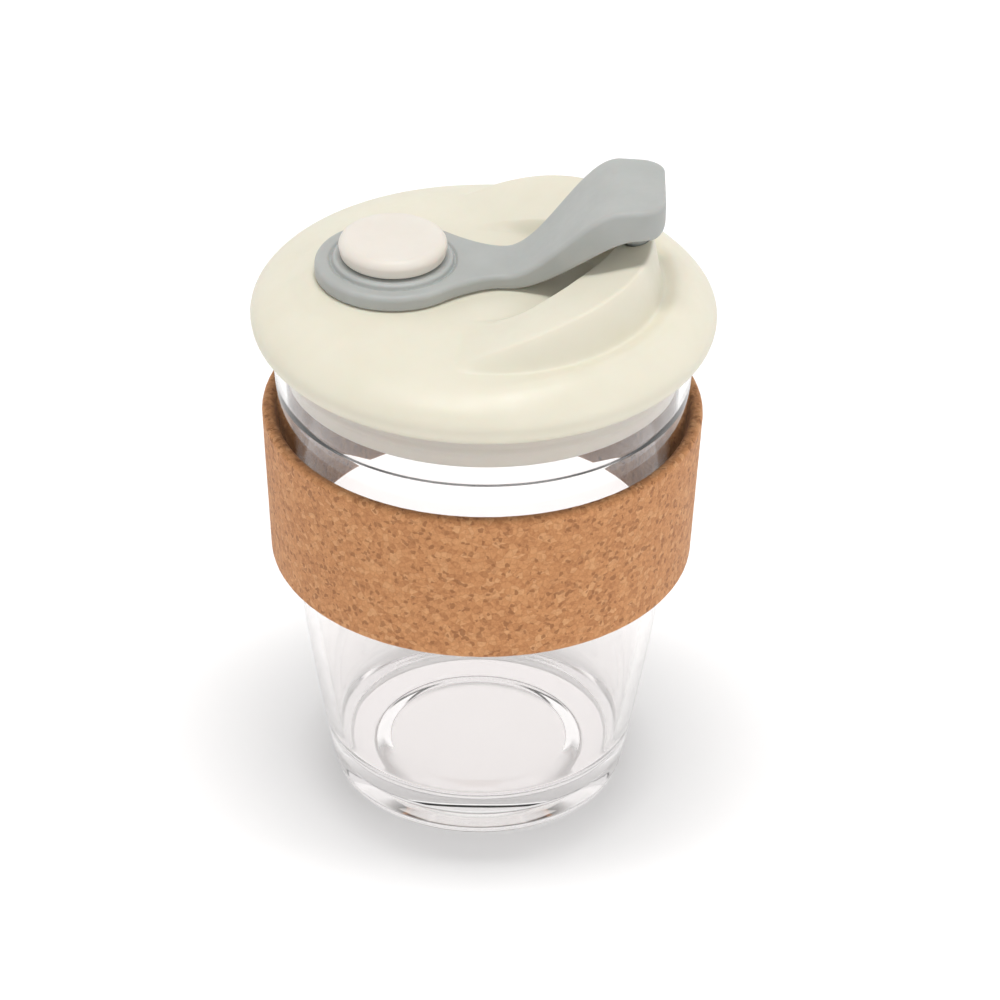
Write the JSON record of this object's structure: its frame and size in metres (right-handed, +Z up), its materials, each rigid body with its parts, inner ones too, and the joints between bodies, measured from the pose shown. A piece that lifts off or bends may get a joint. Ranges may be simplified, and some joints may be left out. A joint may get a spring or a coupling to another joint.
{
  "type": "glass travel tumbler",
  "caption": "Tapered glass travel cup with a cork grip band, a soft press-on lid with a raised drinking crest, and a hinged strap stopper that plugs the drink hole.",
  "frame": {"origin": "centre of the glass's foot, on the surface that it stands on", "axes": "+Z up along the cup's axis, +X from the axis towards the drinking crest, under the stopper's finger tab"},
  "size_m": [0.092, 0.092, 0.1358],
  "materials": {
    "clear_glass": "clear, polished soda-lime glass",
    "cork": "matte agglomerated cork with dark and light grains",
    "lid_silicone": "satin cream silicone",
    "stud_silicone": "satin cream silicone, slightly pinker",
    "strap_silicone": "matte blue-grey silicone"
  },
  "bodies": {
    "tumbler": {"glass_tumbler": "clear_glass"},
    "band": {"cork_band": "cork"},
    "lid": {"lid_shell": "lid_silicone", "stud_button": "stud_silicone", "stopper_ring": "strap_silicone"},
    "stopper": {"stopper_arm": "strap_silicone"}
  },
  "joints": [
    {"name": "band_slide", "type": "slide", "parent": "tumbler", "child": "band", "axis": [0, 0, 1], "range_m": [-0.0524, 0]},
    {"name": "lid_lift", "type": "slide", "parent": "tumbler", "child": "lid", "axis": [0, 0, 1], "range_m": [0, 0.045]},
    {"name": "stopper_hinge", "type": "hinge", "parent": "lid", "child": "stopper", "pos_m": [0.003, 0, 0.11695], "axis": [0, -1, 0], "range_deg": [0, 105], "stiffness_Nm_per_rad": 0.006}
  ]
}
